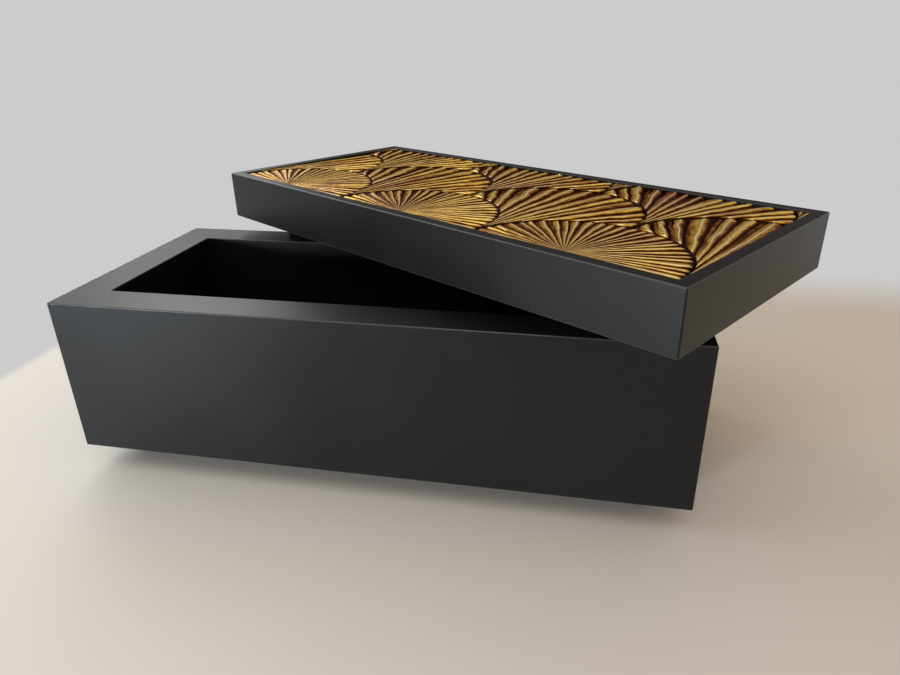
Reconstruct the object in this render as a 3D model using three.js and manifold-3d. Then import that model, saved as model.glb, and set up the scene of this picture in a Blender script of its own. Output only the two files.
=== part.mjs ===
// A lacquered decorative box with a thick lift-off lid. The lid lies askew on the rim, as it is put
// down when the box is opened. Millimetres, +Z up, X along the box, the front towards -Y.
// The origin is on the floor, under the middle of the box.
import * as THREE from 'three';
import { mergeVertices } from 'three/addons/utils/BufferGeometryUtils.js';
import Module from 'manifold-3d';

const wasm = await Module();
wasm.setup();

// Outside size that the box and its lid share
const boxLength = 300;
const boxWidth = 132;

// Box
const wallThickness = 20;
const wallHeight = 79;
const bottomThickness = 9;
const bottomRebate = 8;

// Set-back plinth under the box
const plinthInset = 16;
const plinthHeight = 12;
const plinthCorner = 1;
const feltThickness = 1;
const feltInset = 1;

// Lid
const lidRailWidth = 20;
const lidHeight = 26.5;
const borderWidth = 6;
const panelRecess = 10;
const coreThickness = 6;
const undersideThickness = 4;
const undersideRebate = 8;

// Locating lip under the lid
const lipHeight = 8.8;
const lipWidth = 10;
const lipClearance = 1.5;
const lipLeadIn = 1.5;

// Loose tongues inside the mitres
const splineWidth = 12;
const splineThickness = 3;
const boxSplineStop = 8;
const lidSplineStop = 1.5;

// How the lid lies on the rim
const lidTurnDegrees = -33.6;
const lidShiftX = 41.8;
const lidShiftY = 37.9;
const restGap = 0.3;

// Gilded relief: rows of fans, each row set half a fan along from the row before it
const fansAcross = 3;
const fanRows = 2.5;
const ridgesPerQuarter = 14;
const crestShare = 0.62;
const ridgeSlope = 0.5;
const ridgeUnevenness = 0.22;
const ridgesPerWave = 3.3;
const ridgeEnd = 2.5;
const hubRadius = 2;
const fanGap = 0.6;
const fanSink = 0.4;

// Edges and fits
const arris = 0.9;
const cornerEase = 0.7;
const clearance = 0.3;

const lacquer = { color: 0x1c1c1d, roughness: 0.35, metalness: 0 };
const goldLeaf = { color: 0xc0933a, roughness: 0.3, metalness: 0.8 };
const bareWood = { color: 0xb08d62, roughness: 0.7, metalness: 0 };
const felt = { color: 0x22251f, roughness: 0.95, metalness: 0 };

const assembly = new THREE.Group();
const box = new THREE.Group();
const lid = new THREE.Group();
assembly.add(box, lid);

function addPiece(group, name, geometry, finish) {
  const mesh = new THREE.Mesh(geometry, new THREE.MeshStandardMaterial(finish));
  mesh.name = name;
  group.add(mesh);
}

/** A closed solid for joining and cutting, from a geometry whose faces close. */
function toSolid(geometry) {
  const bare = geometry.clone();
  bare.deleteAttribute('normal');
  bare.deleteAttribute('uv');
  const merged = mergeVertices(bare, 1e-5);
  const corners = merged.index.array;
  const triangles = [];
  for (let i = 0; i < corners.length; i += 3) {
    const [a, b, c] = [corners[i], corners[i + 1], corners[i + 2]];
    if (a !== b && b !== c && c !== a) triangles.push(a, b, c);
  }
  return new wasm.Manifold(new wasm.Mesh({
    numProp: 3,
    vertProperties: Float32Array.from(merged.attributes.position.array),
    triVerts: Uint32Array.from(triangles),
  }));
}

function toGeometry(solid) {
  const mesh = solid.getMesh();
  const geometry = new THREE.BufferGeometry();
  geometry.setAttribute('position', new THREE.Float32BufferAttribute(mesh.vertProperties, 3));
  geometry.setIndex(Array.from(mesh.triVerts));
  const flat = geometry.toNonIndexed();
  flat.computeVertexNormals();
  return flat;
}

/** A closed outline through corners [across, up, radius], each corner rounded by its own radius. */
function roundedOutline(corners) {
  const shape = new THREE.Shape();
  const count = corners.length;
  corners.forEach(([x, y, radius = 0], i) => {
    const here = new THREE.Vector2(x, y);
    const before = new THREE.Vector2(...corners[(i + count - 1) % count]);
    const after = new THREE.Vector2(...corners[(i + 1) % count]);
    const start = here.clone().add(before.sub(here).setLength(radius));
    const end = here.clone().add(after.sub(here).setLength(radius));
    if (i === 0) shape.moveTo(start.x, start.y);
    else shape.lineTo(start.x, start.y);
    if (radius > 0) shape.quadraticCurveTo(x, y, end.x, end.y);
  });
  shape.closePath();
  return shape;
}

function rectangle(length, width, radius) {
  const [x, y] = [length / 2, width / 2];
  return roundedOutline([[-x, -y, radius], [x, -y, radius], [x, y, radius], [-x, y, radius]]);
}

function extrude(outline, depth, curveSegments = 4) {
  return new THREE.ExtrudeGeometry(outline, { depth, bevelEnabled: false, curveSegments });
}

/** A flat board centred on the Z axis, its lower face at the height given by bottom. */
function board(length, width, thickness, bottom, radius = 0) {
  return extrude(rectangle(length, width, radius), thickness).translate(0, 0, bottom);
}

const sides = ['front', 'right', 'back', 'left'];

/**
 * Four mitred rails around a length by width rectangle. The profile is [depth, height, radius] corners,
 * where depth runs inwards from the rail's outer face. Each end is cut at 45 degrees, set back by gap.
 */
function mitredRails(length, width, profile, gap) {
  const outline = roundedOutline(profile);
  return sides.map((side, quarterTurns) => {
    const [span, reach] = quarterTurns % 2 ? [width, length / 2] : [length, width / 2];
    const [cos, sin] = [[1, 0], [0, 1], [-1, 0], [0, -1]][quarterTurns];
    const geometry = extrude(outline, 1);
    const position = geometry.attributes.position;
    for (let i = 0; i < position.count; i++) {
      const depth = position.getX(i);
      const along = Math.sign(position.getZ(i) - 0.5) * (span / 2 - depth - gap);
      const out = depth - reach;
      position.setXYZ(i, cos * along - sin * out, sin * along + cos * out, position.getY(i));
    }
    geometry.computeVertexNormals();
    return geometry;
  });
}

/** Takes the sharp edge off the four upright corners of a frame of rails. */
function easeCorners(rails, length, width, height) {
  const margin = 1;
  const outline = rectangle(length + 2 * margin, width + 2 * margin, 2 * margin + cornerEase);
  const envelope = toSolid(extrude(outline, height + 2 * margin, 1).translate(0, 0, -margin));
  return rails.map((rail) => toGeometry(toSolid(rail).intersect(envelope)));
}

/** Tongues across the four mitres of a frame of rails, and the rails with grooves cut for them. */
function splineMitres(rails, length, width, railWidth, bottom, height) {
  const corners = [[-1, -1], [1, -1], [1, 1], [-1, 1]];
  const tongues = (grow) => corners.map(([signX, signY]) => (
    new THREE.BoxGeometry(splineWidth + grow, splineThickness + grow, height + grow)
      .rotateZ(-signX * signY * Math.PI / 4)
      .translate(signX * (length - railWidth) / 2, signY * (width - railWidth) / 2, bottom + height / 2)));
  const grooves = tongues(2 * clearance).map(toSolid).reduce((all, one) => all.add(one));
  return {
    splines: tongues(0),
    grooved: rails.map((rail) => toGeometry(toSolid(rail).subtract(grooves))),
  };
}

/** A closed slab over a grid: point(i, j) gives [x, y, top], and the underside is flat at zero. */
function gridSlab(columns, rows, point) {
  const grid = [];
  for (let i = 0; i <= columns; i++) {
    for (let j = 0; j <= rows; j++) grid.push(point(i, j));
  }
  const top = (i, j) => grid[i * (rows + 1) + j];
  const low = (i, j) => [top(i, j)[0], top(i, j)[1], 0];
  const positions = [];
  const quad = (a, b, c, d) => positions.push(...a, ...b, ...c, ...a, ...c, ...d);
  for (let i = 0; i < columns; i++) {
    for (let j = 0; j < rows; j++) {
      quad(top(i, j), top(i + 1, j), top(i + 1, j + 1), top(i, j + 1));
      quad(low(i, j), low(i, j + 1), low(i + 1, j + 1), low(i + 1, j));
    }
    quad(low(i, 0), low(i + 1, 0), top(i + 1, 0), top(i, 0));
    quad(top(i, rows), top(i + 1, rows), low(i + 1, rows), low(i, rows));
  }
  for (let j = 0; j < rows; j++) {
    quad(top(0, j), top(0, j + 1), low(0, j + 1), low(0, j));
    quad(low(columns, j), low(columns, j + 1), top(columns, j + 1), top(columns, j));
  }
  const geometry = new THREE.BufferGeometry();
  geometry.setAttribute('position', new THREE.Float32BufferAttribute(positions, 3));
  return geometry;
}

/**
 * A carved fan. Ridges spread from the apex at the origin, as far as spread on each side of +Y, and run
 * from inner(angle) to outer(angle). Each ridge is a leaning roof between two grooves. All crests lie at
 * the height given by level, and the grooves sink as the ridges widen. The widths vary a little, as when
 * cut by hand.
 */
function carvedFan(spread, inner, outer, level) {
  const ridges = Math.round(ridgesPerQuarter * spread / (Math.PI / 4));
  const waves = 2 * Math.PI * Math.round(ridges / ridgesPerWave);
  return gridSlab(2 * ridges, 2, (i, j) => {
    const crest = i % 2 === 1;
    const share = (Math.floor(i / 2) + (crest ? crestShare : 0)) / ridges;
    const drift = ridgeUnevenness * Math.sin(waves * share) / waves;
    const angle = spread * (2 * (share + drift) - 1);
    const [near, far] = [inner(angle), outer(angle)];
    const reach = [near, Math.max(near, far - (crest ? ridgeEnd : 0)), far][j];
    const groove = ridgeSlope * (spread / ridges) * reach;
    return [reach * Math.sin(angle), reach * Math.cos(angle), level - (crest && j < 2 ? 0 : groove)];
  });
}

/**
 * The fans of the relief, from the front edge of the panel to the back. Front fans are half discs.
 * The others are scales: each lies inside its own circle, behind the two circles in front of it, and
 * its ridges spread from the point where those two touch. The pattern is stretched across the panel
 * so that its rows fill the width, and all fans are trimmed to the panel's outline.
 */
function reliefFans(length, width, thickness) {
  const radius = length / fansAcross / 2;
  const rowPitch = width / fanRows;
  const stretch = rowPitch / radius;
  const own = radius - fanGap / 2;
  const front = radius + fanGap / 2;
  const farSide = (angle) => {
    const across = radius * Math.sin(angle);
    return radius * Math.cos(angle) + Math.sqrt(own ** 2 - across ** 2);
  };
  const nearSide = (angle) => {
    const across = radius * Math.abs(Math.sin(angle));
    return across + Math.sqrt(front ** 2 - (radius * Math.cos(angle)) ** 2);
  };
  const diagonal = radius * Math.SQRT2;
  const along = (diagonal ** 2 + own ** 2 - front ** 2) / (2 * diagonal);
  const aside = Math.sqrt(own ** 2 - along ** 2);
  const spread = Math.atan2(aside + along, radius * Math.SQRT2 + aside - along);

  const level = thickness - fanSink;
  const halfDisc = carvedFan(Math.PI / 2, () => hubRadius, () => own, level);
  const scale = carvedFan(spread, nearSide, farSide, level);
  const panel = toSolid(board(length - 2 * clearance, width - 2 * clearance, 2 * thickness, -thickness));
  const fans = [];
  for (let row = 0; row - 1 < fanRows; row++) {
    const inRow = fansAcross + row % 2;
    for (let column = 0; column < inRow; column++) {
      const x = (2 * column - inRow + 1) * radius;
      const y = Math.max(0, row - 1) * rowPitch - width / 2;
      const fan = (row === 0 ? halfDisc : scale).clone().scale(1, stretch, 1).translate(x, y, 0);
      const trimmed = toSolid(fan).intersect(panel);
      if (trimmed.isEmpty()) continue;
      fans.push({ name: `relief_fan_${row + 1}_${column + 1}`, geometry: toGeometry(trimmed) });
    }
  }
  return fans;
}

// Plinth board and the felt under it
const plinthLength = boxLength - 2 * plinthInset;
const plinthWidth = boxWidth - 2 * plinthInset;
const feltLength = plinthLength - 2 * feltInset;
const feltWidth = plinthWidth - 2 * feltInset;
const plinthBoard = board(plinthLength, plinthWidth, plinthHeight, feltThickness, plinthCorner);
addPiece(assembly, 'base_felt', board(feltLength, feltWidth, feltThickness, 0, plinthCorner), felt);
addPiece(assembly, 'plinth', plinthBoard, lacquer);

// Box walls, with a rebate for the bottom board
const boxBottom = feltThickness + plinthHeight;
const wallFoot = wallThickness - bottomRebate;
const wallProfile = [
  [0, 0, arris],
  [wallFoot, 0],
  [wallFoot, bottomThickness],
  [wallThickness, bottomThickness],
  [wallThickness, wallHeight, arris],
  [0, wallHeight, arris],
];
const walls = easeCorners(mitredRails(boxLength, boxWidth, wallProfile, 0), boxLength, boxWidth, wallHeight);
const boxSplineBottom = bottomThickness + boxSplineStop;
const boxSplineHeight = wallHeight - boxSplineStop - boxSplineBottom;
const boxMitres = splineMitres(walls, boxLength, boxWidth, wallThickness, boxSplineBottom, boxSplineHeight);
boxMitres.grooved.forEach((geometry, i) => addPiece(box, `box_wall_${sides[i]}`, geometry, lacquer));
boxMitres.splines.forEach((geometry, i) => addPiece(box, `box_spline_${i + 1}`, geometry, bareWood));
const bottomInset = 2 * (wallFoot + clearance);
const bottomBoard = board(boxLength - bottomInset, boxWidth - bottomInset, bottomThickness, 0);
addPiece(box, 'box_bottom', bottomBoard, lacquer);
box.position.z = boxBottom;

// Lid rails, with a rebate above for the relief and one below for the underside board
const ledge = lidHeight - panelRecess;
const lidFoot = lidRailWidth - undersideRebate;
const lidProfile = [
  [0, 0, arris],
  [lidFoot, 0],
  [lidFoot, undersideThickness],
  [lidRailWidth, undersideThickness],
  [lidRailWidth, ledge],
  [borderWidth, ledge],
  [borderWidth, lidHeight, arris / 2],
  [0, lidHeight, arris],
];
const lidRails = mitredRails(boxLength, boxWidth, lidProfile, clearance / 2);
const easedRails = easeCorners(lidRails, boxLength, boxWidth, lidHeight);
const tongueFoot = undersideThickness + lidSplineStop;
const tongueHeight = ledge - lidSplineStop - tongueFoot;
const lidMitres = splineMitres(easedRails, boxLength, boxWidth, lidRailWidth, tongueFoot, tongueHeight);
lidMitres.grooved.forEach((geometry, i) => addPiece(lid, `lid_rail_${sides[i]}`, geometry, lacquer));
lidMitres.splines.forEach((geometry, i) => addPiece(lid, `lid_spline_${i + 1}`, geometry, bareWood));

const undersideInset = 2 * (lidFoot + clearance);
const underside = board(boxLength - undersideInset, boxWidth - undersideInset, undersideThickness, 0);
addPiece(lid, 'lid_underside', underside, lacquer);
const panelLength = boxLength - 2 * borderWidth;
const panelWidth = boxWidth - 2 * borderWidth;
const core = board(panelLength - 2 * clearance, panelWidth - 2 * clearance, coreThickness, ledge);
addPiece(lid, 'lid_core', core, lacquer);
for (const { name, geometry } of reliefFans(panelLength, panelWidth, panelRecess - coreThickness)) {
  addPiece(lid, name, geometry.translate(0, 0, ledge + coreThickness), goldLeaf);
}

// Locating lip, sized to drop into the box
const lipInset = 2 * (wallThickness + lipClearance);
const lipProfile = [
  [lipLeadIn, -lipHeight],
  [lipWidth, -lipHeight],
  [lipWidth, 0],
  [0, 0],
  [0, lipLeadIn - lipHeight],
];
const lip = mitredRails(boxLength - lipInset, boxWidth - lipInset, lipProfile, clearance / 2);
lip.forEach((geometry, i) => addPiece(lid, `lid_lip_${sides[i]}`, geometry, lacquer));

// The lid lies across the rim on its lip
lid.rotation.z = THREE.MathUtils.degToRad(lidTurnDegrees);
lid.position.set(lidShiftX, lidShiftY, boxBottom + wallHeight + restGap + lipHeight);

export default assembly;
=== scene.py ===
"""Looks of the lacquered decorative box: seamless satin lacquer, the gilded relief of carved fans in the
lid, the felt under the base, and the plain pale stage that it stands on. Metres, in the CAD frame."""
import math

import bmesh
import bpy
import numpy as np
from mathutils import Matrix, Vector


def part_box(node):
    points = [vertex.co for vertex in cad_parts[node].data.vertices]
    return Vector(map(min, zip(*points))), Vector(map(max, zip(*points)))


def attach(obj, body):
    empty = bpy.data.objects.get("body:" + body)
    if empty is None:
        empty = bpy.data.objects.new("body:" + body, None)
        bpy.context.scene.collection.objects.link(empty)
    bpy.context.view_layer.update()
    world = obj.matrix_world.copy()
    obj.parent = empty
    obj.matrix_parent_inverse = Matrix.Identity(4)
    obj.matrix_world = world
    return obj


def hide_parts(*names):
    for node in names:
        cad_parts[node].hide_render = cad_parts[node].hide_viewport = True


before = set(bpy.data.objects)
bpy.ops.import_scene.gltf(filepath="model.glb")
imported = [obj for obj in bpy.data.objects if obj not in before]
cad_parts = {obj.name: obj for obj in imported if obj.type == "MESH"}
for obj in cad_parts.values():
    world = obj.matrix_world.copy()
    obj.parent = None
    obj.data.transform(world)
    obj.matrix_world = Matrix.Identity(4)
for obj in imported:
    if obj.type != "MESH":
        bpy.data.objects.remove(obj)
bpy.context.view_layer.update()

MM = 0.001

# Camera
CAMERA_PLACE = (0.0973, -0.3167, 0.2056)
CAMERA_YAW = math.radians(12.05)
CAMERA_PITCH = math.radians(-24.60)
CAMERA_ROLL = math.radians(-1.21)
CAMERA_LENS = 27.0
SENSOR_WIDTH = 36.0
NEAREST = 0.01

# Edges and fits
ARRIS = 0.6 * MM
SOFT_EDGE = 0.3 * MM
CREASE = SOFT_EDGE / 3
UPRIGHT_RADIUS = 0.8 * MM
INNER_FILLET = 1.2 * MM
BASE_CORNER = 1.0 * MM
LIP_LEAD_IN = 1.5 * MM
CLEARANCE = 0.3 * MM
CORNER_STEPS = 6
ARC_STEPS = 5
FLAT_WEIGHT = 100
CUT_TOLERANCE = 1e-7
TINY = 1e-9

# Gilded relief: the rows of fans and the ridges in each
FANS_ACROSS = 3
FAN_ROWS = 2.5
RIDGES_PER_QUARTER = 14
RIDGES_PER_WAVE = 3.3
RIDGE_UNEVENNESS = 0.22
RIDGE_SLOPE = 0.50
CREST_SHARE = 0.62
HUB_RADIUS = 0.5 * MM
FAN_GAP = 0.6 * MM
FAN_SINK = 0.4 * MM
TIP_TRIM = 0.985
FIRST_SEED = 31
TOP_KIND = 0
EDGE_KIND = 1

# A ridge across: its rise from the groove, its sloping flat, and its fall beyond the crest
RISE_SHARE = 0.62
RISE_REACH = 0.06
FLAT_POWER = 1.3
FALL_POWER = 1.7
RIDGE_SAMPLES = (
    0.0, 0.03, 0.07, 0.14, 0.22, 0.27, 0.30, 0.33,
    0.38, 0.47, 0.56, 0.63, 0.70, 0.79, 0.89, 0.96,
)

# A ridge along: its rounded ends, and how it wanders, leans, rises and forks
ROWS_ALONG_RIDGE = 44
RIDGE_END = 2.5 * MM
RIDGE_START = 1.2 * MM
START_HEIGHT = 0.35
WANDER = 0.07
WANDER_LENGTH = 46 * MM
SWAY_LENGTH = 30 * MM
WAVE_PARTS = ((0.65, 1.0), (0.35, 0.43))
WAVE_PACES = (0.8, 1.25)
CREST_LEAN = 0.08
CREST_SWAY = 0.05
CREST_LIMITS = (0.45, 0.80)
LOWEST_RIDGE = 0.86
BOUNCE = 0.04
FORK_CHANCE = 0.5
FORK_AT = 0.30
FORK_FROM = (0.30, 0.65)
FORK_OPENING = 0.3
FORK_DEPTH = 0.40
FORK_WIDTH = 0.045
CARVE_UNIT = 10 * MM

# The bright line along a crest, a painted highlight that also stands for leaf rubbed bright: half its width,
# and the most of a ridge that this may be
LINE_HALF = 0.50 * MM
LINE_SHARE = 0.10

# Colours of the finishes
BLACK_TONE = (0.0070, 0.0074, 0.0082)
BLACK_ROUGHNESS = 0.34
# Interior lacquer, painted darker than the outside: painted shade inside the box, under the lid and between
# the fans
SHADED_INNER_TONE = (0.0030, 0.0030, 0.0034)
INNER_ROUGHNESS = 0.42
LACQUER_IOR = 1.34
DUST = (0.30, 0.29, 0.27)
# Pale grey of the arrises: partly wear from handling, partly a painted highlight
EDGE_WEAR_AND_HIGHLIGHT = (0.30, 0.30, 0.29)
# Gold from groove to crest by height: the near-black low end is painted shade in the grooves as well as
# toning in the hollows
GOLD_SHADED_BY_HEIGHT = (
    (0.44, (0.022, 0.0036, 0.0004)),
    (0.58, (0.105, 0.0310, 0.0020)),
    (0.70, (0.460, 0.2200, 0.0150)),
    (0.82, (1.000, 0.6800, 0.0900)),
    (0.97, (1.000, 0.8600, 0.3400)),
)
AGED_TINT = (0.50, 0.27, 0.14)
WHITE = (1.0, 1.0, 1.0)
# Cream of the painted highlight along the crests, which also stands for leaf rubbed bright there
CREST_HIGHLIGHT_CREAM = (1.0, 0.95, 0.70)
BOLE = (0.26, 0.050, 0.008)
AMBER = (0.90, 0.50, 0.12, 1.0)
EDGE_STAINS = ((0.3, (0.012, 0.006, 0.004)), (0.6, (0.040, 0.016, 0.007)), (0.8, (0.10, 0.05, 0.015)))
FELT_DARK = (0.016, 0.018, 0.015)
FELT_PALE = (0.050, 0.054, 0.046)
WOOD_BY_GRAIN = ((0.32, (0.30, 0.18, 0.09)), (0.52, (0.50, 0.34, 0.19)), (0.72, (0.62, 0.46, 0.28)))
WOOD_PORE = (0.16, 0.09, 0.045)

# Textures of the finishes. A noise is its scale, detail and roughness, a stretch is its scale along X, Y
# and Z, and a relief is its depth and strength. The ranges are the parts of a noise that are put to use.
NOISE_RANGE = (0.3, 0.7)
NOISE_MIDDLE = (0.35, 0.65)

# Lacquer: mottle, rubbing marks, orange peel, dust, and arrises that hands have polished, their colour
# lightened partly by that wear and partly as a painted highlight
MOTTLE_NOISE = (14.0, 4.0, 0.5)
MOTTLE_TONES = (0.85, 1.18)
MOTTLE_GLOSS = (-0.02, 0.03)
RUBBING_NOISE = (1.0, 3.0, 0.5)
RUBBING_STRETCH = (30.0, 900.0, 900.0)
RUBBING_RANGE = (0.45, 0.75)
RUBBING_GLOSS = 0.02
RUBBING_RELIEF = (0.01 * MM, 0.08)
PEEL_NOISE = (420.0, 2.0, 0.5)
PEEL_RELIEF = (0.02 * MM, 0.30)
DUST_SCALE = 260.0
DUST_SIZE = 0.018
DUST_SHOWS = 0.20
EDGE_WEAR_AND_HIGHLIGHT_SHOWS = 0.16
HANDLED_GLOSS = 0.10

# Gold: streaks along the ridges, patches, pits and age, then how the wear changes metal, coat and sheen
STREAK_NOISE = (1.0, 5.0, 0.62)
STREAK_STRETCH = (7.0, 1.6, 0.0)
STREAK_WEAR = 0.12
STREAK_RELIEF = (0.14 * MM, 0.6)
PATCH_NOISE = (60.0, 4.0, 0.6)
PATCH_WEAR = 0.07
PATCH_RELIEF = (0.12 * MM, 0.4)
PIT_NOISE = (1300.0, 3.0, 0.6)
PIT_RELIEF = (0.03 * MM, 0.25)
AGE_NOISE = (17.0, 2.0, 0.5)
AGE_SPREAD = 0.25
AGED_BELOW = 0.35
LINE_CORE = 0.35
LINE_HEIGHTS = (0.50, 0.80)
LINE_STREAKS = (0.36, 0.56)
LINE_FAINTEST = 0.55
LINE_DULLS = 0.60
BOLE_PATCHES = (0.58, 0.68)
BOLE_STREAKS = (0.50, 0.62)
BOLE_SHOWS = 0.6
GOLD_ROUGHNESS = (0.18, 0.32)
GROOVE_TOP = 0.6
GROOVE_ROUGHNESS = 0.25
METAL_WEAR = (0.48, 0.90)
METAL_SHARE = (0.35, 0.70)
COAT_WEAR = (0.72, 0.95)
COAT_MOST = 0.40
COAT_ROUGHNESS = 0.12
SHEEN_WEAR = (0.50, 0.80)
SHEEN_SHARE = (0.02, 0.30)

# Tile edge, felt and wood
STAIN_NOISE = (180.0, 4.0, 0.5)
STAIN_ROUGHNESS = (0.45, 0.65)
STAIN_RELIEF = (0.08 * MM, 0.5)
FIBRE_NOISE = (1400.0, 5.0, 0.7)
FIBRE_RELIEF = (0.15 * MM, 0.9)
WAD_NOISE = (160.0, 3.0, 0.5)
WAD_RELIEF = (0.30 * MM, 0.5)
FELT_ROUGHNESS = (0.88, 0.98)
FELT_SHEEN = 0.3
GRAIN_NOISE = (1.0, 5.0, 0.65)
GRAIN_STRETCH = (260.0, 260.0, 18.0)
GRAIN_RELIEF = (0.06 * MM, 0.6)
WOOD_ROUGHNESS = (0.6, 0.75)
PORE_NOISE = (1.0, 2.0, 0.5)
PORE_STRETCH = (1800.0, 1800.0, 90.0)
PORE_RANGE = (0.58, 0.70)
PORE_SHOWS = 0.5

# Floor: a table top, and the back and left edges beyond which the backdrop shows
FLOOR_PALE = (0.772, 0.787, 0.775)
FLOOR_DEEP = tuple(0.985 * c for c in FLOOR_PALE)
FLOOR_NOISE = (3.0, 3.0, 0.5)
FLOOR_ROUGHNESS = (0.38, 0.44)
FLOOR_HALF = 4.0
TABLE_BACK = 0.308
TABLE_LEFT = -0.271
TABLE_FADE = 0.012
TABLE_HAZE = 0.10

# World: the backdrop, the even light on the object, and the room that reflections see: dark, with a
# ceiling, a window on the left and a pale wall on the right. Azimuths run from +Y towards +X.
BACKDROP = (0.604, 0.604, 0.604)
AMBIENT = (0.605, 0.456, 0.333)
ROOM_DARK = (0.11, 0.105, 0.10)
CEILING = (1.15, 1.06, 0.95)
WINDOW_GLOW = (0.75, 0.75, 0.73)
WINDOW_SKY = (1.50, 1.46, 1.38)
WINDOW_RIGHT = math.radians(-25)
WINDOW_LEFT = math.radians(-75)
WALL_GLOW = (0.55, 0.53, 0.50)
WALL_LEFT = math.radians(30)
CEILING_FADE = (math.sin(math.radians(32)), math.sin(math.radians(58)))
SKY_FADE = (math.sin(math.radians(20)), math.sin(math.radians(42)))
BACKDROP_TOP = math.radians(4)
SOFT = math.radians(3)

# Lamps: name, place, aim, size, watts, colour
LAMPS = (
    ("key", (-0.68, -0.12, 0.62), (-0.12, 0.0, 0.03), 0.6, 1.5, (0.84, 1.0, 1.16)),
    ("low", (-0.70, -0.90, 0.10), (-0.12, 0.0, 0.05), 0.18, 11.0, (0.88, 1.0, 1.09)),
    ("near", (-0.33, 0.33, 0.36), (-0.12, 0.0, 0.03), 0.2, 0.30, (0.97, 1.0, 0.98)),
    ("back", (-0.53, 0.32, 0.50), (-0.12, 0.0, 0.03), 0.5, 0.4, (0.97, 1.0, 0.98)),
    ("front", (0.05, -0.55, 0.95), (0.0, -0.10, 0.0), 0.5, 0.8, (0.94, 1.0, 1.02)),
)


def box_of(nodes, to_local=Matrix.Identity(4)):
    """Lowest and highest corner of some CAD nodes, in the frame that to_local leads to."""
    points = [to_local @ v.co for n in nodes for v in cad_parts[n].data.vertices]
    low = Vector([min(p[axis] for p in points) for axis in range(3)])
    high = Vector([max(p[axis] for p in points) for axis in range(3)])
    return low, high


def board_frame(node):
    """The frame of a level rectangular board: its middle on its lower face, X along its long side."""
    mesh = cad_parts[node].data
    side = max((p for p in mesh.polygons if abs(p.normal.z) < 0.5), key=lambda p: p.area)
    turn = math.atan2(side.normal.x, -side.normal.y)
    turn = (turn + math.pi / 2) % math.pi - math.pi / 2
    low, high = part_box(node)
    middle = (low + high) / 2
    return Matrix.Translation((middle.x, middle.y, low.z)) @ Matrix.Rotation(turn, 4, "Z")


SIDES = ("front", "right", "back", "left")
BOX_WALLS = [f"box_wall_{side}" for side in SIDES]
LID_RAILS = [f"lid_rail_{side}" for side in SIDES]
LID_LIPS = [f"lid_lip_{side}" for side in SIDES]
LID_FRAME = board_frame("lid_underside")
TO_LID = LID_FRAME.inverted()


def add_object(name, data):
    made = bpy.data.objects.new(name, data)
    bpy.context.scene.collection.objects.link(made)
    return made


# Camera

def add_camera():
    data = bpy.data.cameras.new("camera")
    data.lens = CAMERA_LENS
    data.sensor_width = SENSOR_WIDTH
    data.clip_start = NEAREST
    camera = add_object("camera", data)
    camera.matrix_world = (
        Matrix.Translation(CAMERA_PLACE)
        @ Matrix.Rotation(CAMERA_YAW, 4, "Z")
        @ Matrix.Rotation(math.pi / 2 + CAMERA_PITCH, 4, "X")
        @ Matrix.Rotation(CAMERA_ROLL, 4, "Z")
    )
    bpy.context.scene.camera = camera


# Node helpers

class Nodes:
    """Short calls for the nodes of a tree."""

    def __init__(self, tree):
        self.tree = tree

    def add(self, kind, **settings):
        node = self.tree.nodes.new(kind)
        for key, value in settings.items():
            setattr(node, key, value)
        return node

    def feed(self, socket, value):
        if isinstance(value, bpy.types.NodeSocket):
            self.tree.links.new(value, socket)
        else:
            socket.default_value = value

    def parts(self, vector):
        """The X, Y and Z sockets of a vector."""
        node = self.add("ShaderNodeSeparateXYZ")
        self.feed(node.inputs["Vector"], vector)
        return node.outputs["X"], node.outputs["Y"], node.outputs["Z"]

    def span(self, value, low, high, new_low=0.0, new_high=1.0, smooth=False):
        """Maps low..high to new_low..new_high, clamped."""
        node = self.add("ShaderNodeMapRange")
        if smooth:
            node.interpolation_type = "SMOOTHSTEP"
        self.feed(node.inputs["Value"], value)
        for name, number in zip(("From Min", "From Max", "To Min", "To Max"), (low, high, new_low, new_high)):
            node.inputs[name].default_value = number
        return node.outputs["Result"]

    def varied(self, noise, new_low, new_high):
        """Spreads the middle of a noise over new_low..new_high."""
        return self.span(noise, *NOISE_RANGE, new_low, new_high)

    def math(self, operation, first, second=0.0):
        node = self.add("ShaderNodeMath", operation=operation)
        self.feed(node.inputs[0], first)
        self.feed(node.inputs[1], second)
        return node.outputs["Value"]

    def mix(self, factor, first, second, blend="MIX"):
        node = self.add("ShaderNodeMix", data_type="RGBA", blend_type=blend)
        self.feed(node.inputs["Factor"], factor)
        for socket, value in zip([s for s in node.inputs if s.type == "RGBA"], (first, second)):
            self.feed(socket, value if isinstance(value, bpy.types.NodeSocket) else (*value, 1.0))
        return [s for s in node.outputs if s.type == "RGBA"][0]

    def ramp(self, value, stops):
        """A colour ramp through stops of (position, colour)."""
        node = self.add("ShaderNodeValToRGB")
        self.feed(node.inputs["Fac"], value)
        elements = node.color_ramp.elements
        while len(elements) < len(stops):
            elements.new(0.5)
        for element, (position, colour) in zip(elements, stops):
            element.position = position
            element.color = (*colour, 1.0)
        return node.outputs["Color"]


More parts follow.
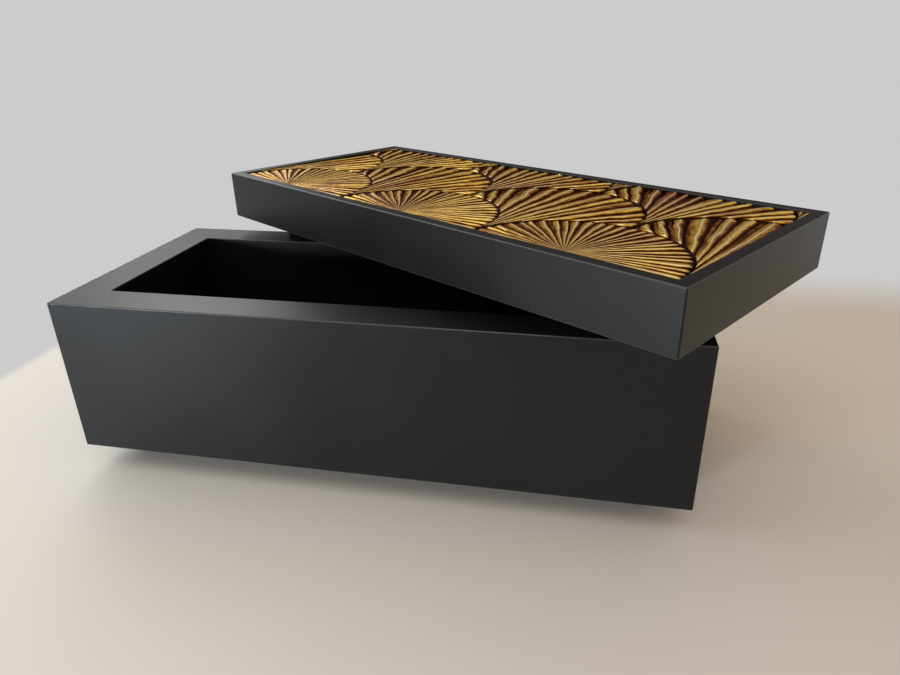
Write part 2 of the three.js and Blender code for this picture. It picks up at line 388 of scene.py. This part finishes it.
class Shader(Nodes):
    """A material's nodes, with the calls that the finishes share."""

    def __init__(self, name):
        self.material = bpy.data.materials.new(name)
        self.material.use_nodes = True
        super().__init__(self.material.node_tree)
        self.surface = self.tree.nodes["Principled BSDF"]
        self.object_coordinates = self.add("ShaderNodeTexCoord").outputs["Object"]

    def set(self, **inputs):
        """Sets or links inputs of the surface shader, named with underscores for spaces."""
        for key, value in inputs.items():
            self.feed(self.surface.inputs[key.replace("_", " ")], value)

    def stretched(self, scale, source=None):
        mapping = self.add("ShaderNodeMapping")
        self.feed(mapping.inputs["Vector"], source or self.object_coordinates)
        mapping.inputs["Scale"].default_value = scale
        return mapping.outputs["Vector"]

    def noise(self, settings, source=None):
        """A noise of those settings: scale, detail and roughness."""
        scale, detail, roughness = settings
        node = self.add("ShaderNodeTexNoise")
        self.feed(node.inputs["Vector"], source or self.object_coordinates)
        node.inputs["Scale"].default_value = scale
        node.inputs["Detail"].default_value = detail
        node.inputs["Roughness"].default_value = roughness
        return node.outputs["Fac"]

    def specks(self, scale, size):
        """1 inside small round specks scattered over the surface, 0 elsewhere."""
        node = self.add("ShaderNodeTexVoronoi")
        self.feed(node.inputs["Vector"], self.object_coordinates)
        node.inputs["Scale"].default_value = scale
        return self.span(node.outputs["Distance"], 0.0, size, 1.0, 0.0)

    def attribute(self, name):
        return self.add("ShaderNodeAttribute", attribute_name=name)

    def bump(self, height, relief, below=None):
        """Normals that a height bumps by a relief: depth and strength."""
        depth, strength = relief
        node = self.add("ShaderNodeBump")
        self.feed(node.inputs["Height"], height)
        node.inputs["Distance"].default_value = depth
        node.inputs["Strength"].default_value = strength
        if below:
            self.feed(node.inputs["Normal"], below)
        return node.outputs["Normal"]


# Finishes

def lacquer(name, colour, roughness):
    """Satin lacquer: rubbed flat, with a trace of orange peel, rubbing marks, dust, and handled edges that
    are lightened partly by wear and partly as a painted highlight.
    """
    s = Shader(name)
    mottle = s.noise(MOTTLE_NOISE)
    rubbing = s.noise(RUBBING_NOISE, s.stretched(RUBBING_STRETCH))
    peel = s.noise(PEEL_NOISE)
    dust = s.specks(DUST_SCALE, DUST_SIZE)
    edge_wear_and_highlight = s.attribute("edge").outputs["Fac"]
    deep, light = (tuple(c * share for c in colour) for share in MOTTLE_TONES)
    tone = s.mix(s.span(mottle, *NOISE_MIDDLE), deep, light)
    tone = s.mix(s.math("MULTIPLY", dust, DUST_SHOWS), tone, DUST)
    # painted highlight: the arrises are lightened towards pale grey, partly as wear and partly as a painted
    # highlight
    tone = s.mix(s.math("MULTIPLY", edge_wear_and_highlight, EDGE_WEAR_AND_HIGHLIGHT_SHOWS), tone, EDGE_WEAR_AND_HIGHLIGHT)
    gloss = s.varied(mottle, *(roughness + change for change in MOTTLE_GLOSS))
    gloss = s.math("ADD", gloss, s.span(rubbing, *RUBBING_RANGE, 0.0, RUBBING_GLOSS))
    gloss = s.math("SUBTRACT", gloss, s.math("MULTIPLY", edge_wear_and_highlight, HANDLED_GLOSS))
    normal = s.bump(peel, PEEL_RELIEF)
    normal = s.bump(rubbing, RUBBING_RELIEF, below=normal)
    s.set(Base_Color=tone, Roughness=gloss, Normal=normal, IOR=LACQUER_IOR)
    return s.material


def gold_leaf():
    """Leaf over carved wood, toned with amber lacquer: dark in the grooves, partly from the toning and partly
    as painted shade, and rubbed bright on the crests.
    """
    s = Shader("gold_leaf")
    carve = s.attribute("carve")
    _, _, height = s.parts(carve.outputs["Vector"])
    tint = s.attribute("tint").outputs["Fac"]
    streaks = s.noise(STREAK_NOISE, s.stretched(STREAK_STRETCH, carve.outputs["Vector"]))
    patches = s.noise(PATCH_NOISE)
    pits = s.noise(PIT_NOISE)
    age = s.noise(AGE_NOISE)
    wear_and_painted_shade = s.math("ADD", height, s.varied(streaks, -STREAK_WEAR, STREAK_WEAR))
    wear_and_painted_shade = s.math("ADD", wear_and_painted_shade, s.varied(patches, -PATCH_WEAR, PATCH_WEAR))
    # painted shade: the gold darkens to near black down in the grooves by height, partly the toning lacquer
    # in the hollows
    tone = s.ramp(wear_and_painted_shade, GOLD_SHADED_BY_HEIGHT)
    aged = s.math("ADD", tint, s.span(age, *NOISE_MIDDLE, -AGE_SPREAD, AGE_SPREAD))
    warm = s.mix(s.span(aged, 0.0, AGED_BELOW), AGED_TINT, WHITE)
    tone = s.mix(1.0, tone, warm, blend="MULTIPLY")
    gap = s.math("ABSOLUTE", s.attribute("crest_gap").outputs["Fac"])
    # painted highlight: a cream line along each crest, which also stands for leaf rubbed bright
    crest_highlight = s.span(gap, LINE_CORE, 1.0, 1.0, 0.0, smooth=True)
    crest_highlight = s.math("MULTIPLY", crest_highlight, s.span(height, *LINE_HEIGHTS))
    crest_highlight = s.math("MULTIPLY", crest_highlight, s.span(streaks, *LINE_STREAKS, LINE_FAINTEST, 1.0))
    tone = s.mix(crest_highlight, tone, CREST_HIGHLIGHT_CREAM)
    bole = s.math("MULTIPLY", s.span(patches, *BOLE_PATCHES), s.span(streaks, *BOLE_STREAKS))
    tone = s.mix(s.math("MULTIPLY", bole, BOLE_SHOWS), tone, BOLE)
    gloss = s.varied(streaks, *GOLD_ROUGHNESS)
    gloss = s.math("ADD", gloss, s.span(height, 0.0, GROOVE_TOP, GROOVE_ROUGHNESS, 0.0))
    metal = s.span(wear_and_painted_shade, *METAL_WEAR, *METAL_SHARE)
    metal = s.math("SUBTRACT", metal, s.math("MULTIPLY", crest_highlight, LINE_DULLS))
    clear = s.math("MAXIMUM", s.span(wear_and_painted_shade, *COAT_WEAR, 0.0, COAT_MOST), crest_highlight)
    sheen = s.span(wear_and_painted_shade, *SHEEN_WEAR, *SHEEN_SHARE)
    normal = s.bump(streaks, STREAK_RELIEF)
    normal = s.bump(patches, PATCH_RELIEF, below=normal)
    normal = s.bump(pits, PIT_RELIEF, below=normal)
    s.set(Base_Color=tone, Roughness=gloss, Metallic=metal, Normal=normal)
    s.set(Specular_Tint=AMBER, Specular_IOR_Level=sheen, Coat_Weight=clear, Coat_Roughness=COAT_ROUGHNESS)
    return s.material


def gesso():
    """The dark stained edge of a carved tile."""
    s = Shader("tile_edge")
    stain = s.noise(STAIN_NOISE)
    tone = s.ramp(stain, EDGE_STAINS)
    gloss = s.varied(stain, *STAIN_ROUGHNESS)
    s.set(Base_Color=tone, Roughness=gloss, Normal=s.bump(stain, STAIN_RELIEF))
    return s.material


def felt():
    s = Shader("base_felt")
    fibres = s.noise(FIBRE_NOISE)
    wads = s.noise(WAD_NOISE)
    tone = s.mix(s.varied(fibres, 0.0, 1.0), FELT_DARK, FELT_PALE)
    normal = s.bump(wads, WAD_RELIEF)
    normal = s.bump(fibres, FIBRE_RELIEF, below=normal)
    s.set(Base_Color=tone, Roughness=s.varied(wads, *FELT_ROUGHNESS), Normal=normal, Sheen_Weight=FELT_SHEEN)
    return s.material


def bare_wood():
    s = Shader("bare_wood")
    grain = s.noise(GRAIN_NOISE, s.stretched(GRAIN_STRETCH))
    pores = s.noise(PORE_NOISE, s.stretched(PORE_STRETCH))
    tone = s.ramp(grain, WOOD_BY_GRAIN)
    tone = s.mix(s.span(pores, *PORE_RANGE, 0.0, PORE_SHOWS), tone, WOOD_PORE)
    gloss = s.varied(grain, *WOOD_ROUGHNESS)
    s.set(Base_Color=tone, Roughness=gloss, Normal=s.bump(grain, GRAIN_RELIEF))
    return s.material


# Shapes

def arc_corner(before, here, after, radius):
    """Points that round the corner of an outline by an arc of that radius."""
    here, before, after = Vector(here), Vector(before), Vector(after)
    into = (before - here).normalized()
    out = (after - here).normalized()
    half = into.angle(out) / 2
    reach = radius / math.tan(half)
    centre = here + (into + out).normalized() * (radius / math.sin(half))
    start = here + into * reach - centre
    end = here + out * reach - centre
    points = []
    for i in range(ARC_STEPS + 1):
        t = i / ARC_STEPS
        points.append(centre + (start * (1 - t) + end * t).normalized() * radius)
    return points


def rounded_profile(corners):
    """Outline points (depth, height, edge) of corners (depth, height, radius). edge is 0 on the flats, and
    rises to 1 in the middle of each arris."""
    points = []
    for i, (depth, height, radius) in enumerate(corners):
        before = corners[i - 1][:2]
        after = corners[(i + 1) % len(corners)][:2]
        # the share that lightens each arris, partly as wear and partly as a painted highlight
        edge_wear_and_highlight = 1.0 if radius >= ARRIS / 2 else 0.0
        for step, p in enumerate(arc_corner(before, (depth, height), after, radius)):
            points.append((p.x, p.y, edge_wear_and_highlight * math.sin(math.pi * step / ARC_STEPS)))
    return points


def outline_at(length, width, depth, corner_radius):
    """A rounded rectangle, depth inside the length by width outline, anticlockwise from +X."""
    x = length / 2 - depth - corner_radius
    y = width / 2 - depth - corner_radius
    points = []
    for quarter, (sign_x, sign_y) in enumerate(((1, 1), (-1, 1), (-1, -1), (1, -1))):
        for step in range(CORNER_STEPS + 1):
            angle = math.pi / 2 * (quarter + step / CORNER_STEPS)
            points.append((
                sign_x * x + corner_radius * math.cos(angle),
                sign_y * y + corner_radius * math.sin(angle),
            ))
    return points


def finish_mesh(name, vertices, faces, edge_shares, material, body, slot, nodes, place):
    """A piece from vertices and faces: smooth, with the flats kept flat, riding on its body."""
    mesh = bpy.data.meshes.new(name)
    mesh.from_pydata([tuple(v) for v in vertices], [], faces)
    mesh.attributes.new("edge", "FLOAT", "POINT").data.foreach_set("value", edge_shares)
    work = bmesh.new()
    work.from_mesh(mesh)
    bmesh.ops.recalc_face_normals(work, faces=work.faces)
    work.to_mesh(mesh)
    work.free()
    mesh.shade_smooth()
    mesh.materials.append(material)
    piece = add_object(name, mesh)
    piece.matrix_world = place
    normals = piece.modifiers.new("flat_sides", "WEIGHTED_NORMAL")
    normals.weight = FLAT_WEIGHT
    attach(piece, body)
    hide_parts(*nodes)
    return piece


def swept_frame(name, length, width, profile, radii, **rest):
    """A seamless frame: the profile (depth, height, edge) swept round a length by width rectangle. The
    upright corners are rounded by radii[0] at the outside, and by radii[1] at the inside."""
    deepest = max(depth for depth, _, _ in profile)
    vertices = []
    shares = []
    for depth, height, edge in profile:
        radius = radii[0] + (radii[1] - radii[0]) * max(depth, 0.0) / deepest
        for i, (x, y) in enumerate(outline_at(length, width, depth, radius)):
            vertices.append((x, y, height))
            upright = math.sin(math.pi * (i % (CORNER_STEPS + 1)) / CORNER_STEPS) if depth == 0.0 else 0.0
            shares.append(max(edge, upright))
    around = 4 * (CORNER_STEPS + 1)
    count = len(profile)
    faces = []
    for i in range(count):
        for j in range(around):
            a, b = i * around + j, i * around + (j + 1) % around
            c, d = ((i + 1) % count) * around + (j + 1) % around, ((i + 1) % count) * around + j
            faces.append((a, b, c, d))
    return finish_mesh(name, vertices, faces, shares, **rest)


def slab(name, length, width, bottom, top, corner_radius, edge_radius, **rest):
    """A board with rounded edges all round."""
    rings = []
    for step in range(ARC_STEPS + 1):
        angle = math.pi / 2 * step / ARC_STEPS
        rings.append((edge_radius * (1 - math.sin(angle)), bottom + edge_radius * (1 - math.cos(angle))))
    rings += [(inset, bottom + top - height) for inset, height in reversed(rings)]
    vertices = []
    for inset, height in rings:
        vertices += [(x, y, height) for x, y in outline_at(length, width, inset, corner_radius)]
    around = 4 * (CORNER_STEPS + 1)
    faces = [tuple(range(around)), tuple(range(len(vertices) - around, len(vertices)))]
    for i in range(len(rings) - 1):
        for j in range(around):
            k = (j + 1) % around
            faces.append((i * around + j, i * around + k, (i + 1) * around + k, (i + 1) * around + j))
    return finish_mesh(name, vertices, faces, [0.0] * len(vertices), **rest)


# Box and plinth

def add_box(black, shaded_inner, felt_cloth):
    low, high = box_of(BOX_WALLS)
    floor_low, floor_high = box_of(["box_bottom"])
    wall = box_of(["box_wall_front"])[1].y - low.y
    foot = floor_low.x - low.x - CLEARANCE
    length, width = high.x - low.x, high.y - low.y
    profile = rounded_profile([
        (0.0, low.z, ARRIS),
        (foot, low.z, SOFT_EDGE),
        (foot, floor_high.z, CREASE),
        (wall, floor_high.z, CREASE),
        (wall, high.z, ARRIS),
        (0.0, high.z, ARRIS),
    ])
    here = Matrix.Identity(4)
    swept_frame("box_shell", length, width, profile, (UPRIGHT_RADIUS, INNER_FILLET), material=black,
                body="box", slot="black_lacquer", nodes=BOX_WALLS, place=here)
    slab("box_floor", *(floor_high - floor_low).xy, floor_low.z, floor_high.z, SOFT_EDGE, CREASE,
         material=shaded_inner, body="box", slot="black_lacquer", nodes=["box_bottom"], place=here)
    plinth_low, plinth_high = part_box("plinth")
    slab("plinth_block", *(plinth_high - plinth_low).xy, plinth_low.z, plinth_high.z, BASE_CORNER, SOFT_EDGE,
         material=black, body="box", slot="black_lacquer", nodes=["plinth"], place=here)
    felt_low, felt_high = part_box("base_felt")
    slab("felt_pad", *(felt_high - felt_low).xy, felt_low.z, felt_high.z, BASE_CORNER, SOFT_EDGE,
         material=felt_cloth, body="box", slot="base_felt", nodes=["base_felt"], place=here)


# Lid

def add_lid(black, shaded_inner):
    low, high = box_of(LID_RAILS, TO_LID)
    core_low, core_high = box_of(["lid_core"], TO_LID)
    under_low, under_high = box_of(["lid_underside"], TO_LID)
    rail = box_of(["lid_rail_front"], TO_LID)[1].y - low.y
    border = core_low.x - low.x - CLEARANCE
    foot = under_low.x - low.x - CLEARANCE
    length, width = high.x - low.x, high.y - low.y
    profile = rounded_profile([
        (0.0, low.z, ARRIS),
        (foot, low.z, SOFT_EDGE),
        (foot, under_high.z, CREASE),
        (rail, under_high.z, CREASE),
        (rail, core_low.z, CREASE),
        (border, core_low.z, CREASE),
        (border, high.z, ARRIS / 2),
        (0.0, high.z, ARRIS),
    ])
    swept_frame("lid_frame", length, width, profile, (UPRIGHT_RADIUS, SOFT_EDGE), material=black,
                body="lid", slot="black_lacquer", nodes=LID_RAILS, place=LID_FRAME)
    slab("lid_floor", *(under_high - under_low).xy, under_low.z, under_high.z, SOFT_EDGE, SOFT_EDGE / 2,
         material=shaded_inner, body="lid", slot="inner_lacquer", nodes=["lid_underside"], place=LID_FRAME)
    # the ground between the fans takes the darker lacquer, painted shade in the gaps
    slab("relief_ground", *(core_high - core_low).xy, core_low.z, core_high.z, SOFT_EDGE, SOFT_EDGE / 2,
         material=shaded_inner, body="lid", slot="inner_lacquer", nodes=["lid_core"], place=LID_FRAME)
    lip_low, lip_high = box_of(LID_LIPS, TO_LID)
    lip = box_of(["lid_lip_front"], TO_LID)[1].y - lip_low.y
    lip_profile = rounded_profile([
        (LIP_LEAD_IN, lip_low.z, SOFT_EDGE),
        (lip, lip_low.z, 2 * SOFT_EDGE),
        (lip, lip_high.z, CREASE),
        (0.0, lip_high.z, CREASE),
        (0.0, lip_low.z + LIP_LEAD_IN, SOFT_EDGE),
    ])
    swept_frame("locating_lip", lip_high.x - lip_low.x, lip_high.y - lip_low.y, lip_profile,
                (UPRIGHT_RADIUS, INNER_FILLET), material=shaded_inner, body="lid", slot="inner_lacquer",
                nodes=LID_LIPS, place=LID_FRAME)


# Carved fans

def ridge_height(t, crest):
    """A ridge's height across it: a steep rise from the groove, a broad sloping flat, a crest, a fall."""
    rising = np.clip(t / crest, 0.0, 1.0)
    falling = np.clip((t - crest) / (1.0 - crest), 0.0, 1.0)
    flat = RISE_SHARE * (1 - np.exp(-rising / RISE_REACH)) + (1 - RISE_SHARE) * rising ** FLAT_POWER
    return np.where(t <= crest, flat, 1.0 - falling ** FALL_POWER)


def wave(rng, count, distances, wavelength):
    """A slow random wander along each of count lines, about -1 to 1, at each of the distances."""
    total = np.zeros((count, len(distances)))
    for share, stretch in WAVE_PARTS:
        phase = rng.uniform(0.0, 2 * math.pi, (count, 1))
        pace = rng.uniform(*WAVE_PACES, (count, 1)) * 2 * math.pi / (wavelength * stretch)
        total += share * np.sin(distances[None, :] * pace + phase)
    return total


def carved_grid(rng, spread, near, far, level):
    """Columns of points over a fan that opens by spread to each side of +Y from the origin, with what the
    gold's shader reads at each: the coordinates of the carving, and the shares of each ridge."""
    ridges = round(RIDGES_PER_QUARTER * spread / (math.pi / 4))
    waves = 2 * math.pi * round(ridges / RIDGES_PER_WAVE)
    samples = np.array(RIDGE_SAMPLES)
    ridge = np.append(np.repeat(np.arange(ridges), len(samples)), ridges - 1)
    t = np.append(np.tile(samples, ridges), 1.0)
    share = (ridge + t) / ridges
    drift = RIDGE_UNEVENNESS * np.sin(waves * share) / waves
    angle = spread * TIP_TRIM * (2 * (share + drift) - 1)

    fraction = (1 - np.cos(np.linspace(0.0, math.pi, ROWS_ALONG_RIDGE + 1))) / 2
    start, end = near(angle)[:, None], far(angle)[:, None]
    reach = start + (end - start) * fraction[None, :]
    distances = reach.mean(0)

    # The grooves wander a little, and each ridge leans, rises and forks in its own way
    groove_wander = wave(rng, ridges + 1, distances, WANDER_LENGTH)
    groove_wander[[0, -1]] = 0.0
    next_groove = np.minimum(ridge + 1, ridges)
    shift = groove_wander[ridge] * (1 - t)[:, None] + groove_wander[next_groove] * t[:, None]
    angle = angle[:, None] + shift * WANDER * 2 * spread / ridges

    lean = rng.uniform(-CREST_LEAN, CREST_LEAN, ridges)[ridge][:, None]
    sway = wave(rng, ridges, distances, SWAY_LENGTH)[ridge]
    crest = np.clip(CREST_SHARE + lean + CREST_SWAY * sway, *CREST_LIMITS)
    tall = rng.uniform(LOWEST_RIDGE, 1.0, ridges)[ridge][:, None]
    bounce = 1 + BOUNCE * wave(rng, ridges, distances, SWAY_LENGTH)[ridge]
    height = ridge_height(t[:, None], crest) * tall * bounce

    forked = (rng.uniform(0, 1, ridges) < FORK_CHANCE)[ridge][:, None]
    fork_from = rng.uniform(*FORK_FROM, ridges)[ridge][:, None]
    along = (reach - start) / np.maximum(end - start, TINY)
    opening = np.clip((along - fork_from) / FORK_OPENING, 0.0, 1.0) * forked
    height = height - FORK_DEPTH * opening * np.exp(-((t[:, None] - FORK_AT) / FORK_WIDTH) ** 2)

    # Both ends are rounded over
    to_end = np.clip((end - reach) / RIDGE_END, 0.0, 1.0)
    from_start = np.clip((reach - start) / RIDGE_START, 0.0, 1.0)
    ends = np.minimum(
        np.sqrt(1 - (1 - to_end) ** 2),
        START_HEIGHT + (1 - START_HEIGHT) * np.sqrt(1 - (1 - from_start) ** 2),
    )
    height = np.clip(height * ends, 0.0, 1.0)

    half_ridge = spread / ridges * reach
    top = level - RIDGE_SLOPE * half_ridge * (1 - height)
    points = np.stack([reach * np.sin(angle), reach * np.cos(angle), top], axis=-1)
    across = np.broadcast_to((ridge + t)[:, None], reach.shape)
    carve = np.stack([across, reach / CARVE_UNIT, height], axis=-1)
    shares = {
        "tint": np.broadcast_to(rng.uniform(0, 1, ridges)[ridge][:, None], reach.shape),
        "crest_gap": (t[:, None] - crest) * np.maximum(2 * half_ridge / LINE_HALF, 1 / LINE_SHARE),
    }
    return points, carve, shares


def fan_mesh(name, points, carve, shares):
    """A closed tile under a grid of points: carved top, upright edges and a flat underside at zero."""
    columns, rows = points.shape[:2]
    top = np.arange(columns * rows).reshape(columns, rows)
    foot_points = points[:, [0, -1]].copy()
    foot_points[..., 2] = 0.0
    foot = columns * rows + np.arange(columns * 2).reshape(columns, 2)
    a, b, c, d = top[:-1, :-1], top[1:, :-1], top[1:, 1:], top[:-1, 1:]
    carved = np.stack([a, b, c, d], axis=-1).reshape(-1, 4).tolist()
    plain = []
    for i in range(columns - 1):
        plain.append((foot[i, 0], foot[i, 1], foot[i + 1, 1], foot[i + 1, 0]))
        plain.append((foot[i, 0], foot[i + 1, 0], top[i + 1, 0], top[i, 0]))
        plain.append((top[i, -1], top[i + 1, -1], foot[i + 1, 1], foot[i, 1]))
    plain.append((*top[0], foot[0, 1], foot[0, 0]))
    plain.append((foot[-1, 0], foot[-1, 1], *top[-1][::-1]))
    faces = carved + [tuple(int(v) for v in face) for face in plain]

    mesh = bpy.data.meshes.new(name)
    mesh.from_pydata(np.concatenate([points.reshape(-1, 3), foot_points.reshape(-1, 3)]).tolist(), [], faces)
    pad = np.zeros((columns * 2, 3))
    values = np.concatenate([carve.reshape(-1, 3), pad]).astype(np.float32)
    mesh.attributes.new("carve", "FLOAT_VECTOR", "POINT").data.foreach_set("vector", values.ravel())
    for label, share in shares.items():
        flat = np.concatenate([share.ravel(), pad[:, 0]]).astype(np.float32)
        mesh.attributes.new(label, "FLOAT", "POINT").data.foreach_set("value", flat)
    kinds = np.array([TOP_KIND] * len(carved) + [EDGE_KIND] * len(plain), np.int32)
    mesh.polygons.foreach_set("material_index", kinds)
    return mesh


def trim(mesh, low, high):
    """Cuts a closed tile at the upright sides of the rectangle low..high, and closes the cuts."""
    work = bmesh.new()
    work.from_mesh(mesh)
    for axis in (0, 1):
        for corner, sign in ((low, -1), (high, 1)):
            normal = [0.0, 0.0, 0.0]
            normal[axis] = sign
            whole = work.verts[:] + work.edges[:] + work.faces[:]
            bmesh.ops.bisect_plane(work, geom=whole, dist=CUT_TOLERANCE, plane_co=corner,
                                   plane_no=normal, clear_outer=True)
            loose = [e for e in work.edges if e.is_boundary]
            for face in bmesh.ops.holes_fill(work, edges=loose, sides=0)["faces"]:
                face.material_index = EDGE_KIND
    bmesh.ops.recalc_face_normals(work, faces=work.faces)
    for face in work.faces:
        face.smooth = face.material_index == TOP_KIND
    work.to_mesh(mesh)
    work.free()


def add_relief(gold, edge):
    core_low, core_high = box_of(["lid_core"], TO_LID)
    low = Vector((core_low.x, core_low.y, 0.0))
    high = Vector((core_high.x, core_high.y, 0.0))
    length = core_high.x - core_low.x + 2 * CLEARANCE
    width = core_high.y - core_low.y + 2 * CLEARANCE
    thickness = box_of(LID_RAILS, TO_LID)[1].z - core_high.z
    radius = length / FANS_ACROSS / 2
    pitch = width / FAN_ROWS
    own, front = radius - FAN_GAP / 2, radius + FAN_GAP / 2

    def far_side(angle):
        return radius * np.cos(angle) + np.sqrt(own ** 2 - (radius * np.sin(angle)) ** 2)

    def near_side(angle):
        across = radius * np.abs(np.sin(angle))
        return across + np.sqrt(front ** 2 - (radius * np.cos(angle)) ** 2)

    def hub_side(angle):
        return np.full_like(angle, HUB_RADIUS)

    def rim_side(angle):
        return np.full_like(angle, own)

    diagonal = radius * math.sqrt(2)
    along = (diagonal ** 2 + own ** 2 - front ** 2) / (2 * diagonal)
    aside = math.sqrt(own ** 2 - along ** 2)
    spread = math.atan2(aside + along, diagonal + aside - along)
    level = thickness - FAN_SINK

    nodes = sorted(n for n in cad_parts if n.startswith("relief_fan_"))
    for seed, node in enumerate(nodes):
        row, column = (int(part) for part in node.split("_")[-2:])
        in_row = FANS_ACROSS + (row - 1) % 2
        rng = np.random.default_rng(FIRST_SEED + seed)
        if row == 1:
            shape = (math.pi / 2 / TIP_TRIM, hub_side, rim_side)
        else:
            shape = (spread, near_side, far_side)
        points, carve, shares = carved_grid(rng, *shape, level)
        points[..., 0] += (2 * (column - 1) - in_row + 1) * radius
        points[..., 1] = points[..., 1] * pitch / radius + max(0, row - 2) * pitch - width / 2
        name = node.replace("relief_fan", "carved_fan")
        mesh = fan_mesh(name, points, carve, shares)
        trim(mesh, low, high)
        mesh.materials.append(gold)
        mesh.materials.append(edge)
        piece = add_object(name, mesh)
        piece.matrix_world = LID_FRAME @ Matrix.Translation((0.0, 0.0, core_high.z))
        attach(piece, "lid")
        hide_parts(node)


# Stage

def add_floor():
    """A pale satin table top. Beyond its back and left edges, the camera and reflections see the backdrop."""
    mesh = bpy.data.meshes.new("floor")
    corners = [(FLOOR_HALF * x, FLOOR_HALF * y, 0.0) for x, y in ((-1, -1), (1, -1), (1, 1), (-1, 1))]
    mesh.from_pydata(corners, [], [(0, 1, 2, 3)])
    floor = add_object("floor", mesh)
    s = Shader("floor")
    mottle = s.noise(FLOOR_NOISE)
    tone = s.mix(s.varied(mottle, 0.0, 1.0), FLOOR_PALE, FLOOR_DEEP)
    s.set(Base_Color=tone, Roughness=s.varied(mottle, *FLOOR_ROUGHNESS))
    x, y, _ = s.parts(s.object_coordinates)
    behind = s.span(y, TABLE_BACK - TABLE_HAZE, TABLE_BACK + TABLE_FADE, smooth=True)
    beside = s.span(x, TABLE_LEFT, TABLE_LEFT - TABLE_FADE, smooth=True)
    beyond = s.math("MAXIMUM", behind, beside)
    rays = s.add("ShaderNodeLightPath")
    direct = s.math("MAXIMUM", rays.outputs["Is Camera Ray"], rays.outputs["Is Glossy Ray"])
    seen = s.math("MULTIPLY", beyond, direct)
    glow = s.add("ShaderNodeEmission")
    glow.inputs["Color"].default_value = (*BACKDROP, 1.0)
    blend = s.add("ShaderNodeMixShader")
    s.feed(blend.inputs[0], seen)
    s.feed(blend.inputs[1], s.surface.outputs["BSDF"])
    s.feed(blend.inputs[2], glow.outputs["Emission"])
    s.feed(s.tree.nodes["Material Output"].inputs["Surface"], blend.outputs["Shader"])
    mesh.materials.append(s.material)


def add_world():
    """A flat grey backdrop for the camera, warm even light, and for reflections a dark room with a window on
    the left and a pale wall on the right."""
    world = bpy.data.worlds.new("studio")
    bpy.context.scene.world = world
    world.use_nodes = True
    n = Nodes(world.node_tree)
    rays = n.add("ShaderNodeLightPath")
    x, y, z = n.parts(n.add("ShaderNodeTexCoord").outputs["Generated"])
    azimuth = n.math("ARCTAN2", x, y)
    window = n.math(
        "MULTIPLY",
        n.span(azimuth, WINDOW_RIGHT + SOFT, WINDOW_RIGHT - SOFT, smooth=True),
        n.span(azimuth, WINDOW_LEFT - SOFT, WINDOW_LEFT + SOFT, smooth=True),
    )
    dark = n.mix(n.span(z, *CEILING_FADE, smooth=True), ROOM_DARK, CEILING)
    bright = n.mix(n.span(z, *SKY_FADE, smooth=True), WINDOW_GLOW, WINDOW_SKY)
    room = n.mix(window, dark, bright)
    room = n.mix(n.span(azimuth, WALL_LEFT - SOFT, WALL_LEFT + SOFT, smooth=True), room, WALL_GLOW)
    above = n.span(z, math.sin(BACKDROP_TOP - SOFT), math.sin(BACKDROP_TOP + SOFT), smooth=True)
    reflected = n.mix(above, BACKDROP, room)
    lit = n.mix(rays.outputs["Is Glossy Ray"], AMBIENT, reflected)
    seen = n.mix(rays.outputs["Is Camera Ray"], lit, BACKDROP)
    n.feed(n.tree.nodes["Background"].inputs["Color"], seen)


def add_light(name, place, aim, size, watts, colour):
    data = bpy.data.lights.new(name, "AREA")
    data.shape = "SQUARE"
    data.size = size
    data.energy = watts
    data.color = colour
    light = add_object(name, data)
    light.location = place
    light.rotation_mode = "QUATERNION"
    light.rotation_quaternion = (Vector(aim) - light.location).to_track_quat("-Z", "Y")


# Assembly

add_camera()
bpy.context.scene.view_settings.view_transform = "Standard"
BLACK = lacquer("black_lacquer", BLACK_TONE, BLACK_ROUGHNESS)
# the darker copy of the lacquer paints shade inside the box, under the lid and between the fans
SHADED_INNER = lacquer("inner_lacquer", SHADED_INNER_TONE, INNER_ROUGHNESS)
add_box(BLACK, SHADED_INNER, felt())
add_lid(BLACK, SHADED_INNER)
add_relief(gold_leaf(), gesso())
WOOD = bare_wood()
for node_name, node_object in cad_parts.items():
    if "spline" in node_name:
        node_object.data.materials.clear()
        node_object.data.materials.append(WOOD)
add_floor()
add_world()
for lamp in LAMPS:
    add_light(*lamp)

bpy.context.view_layer.update()
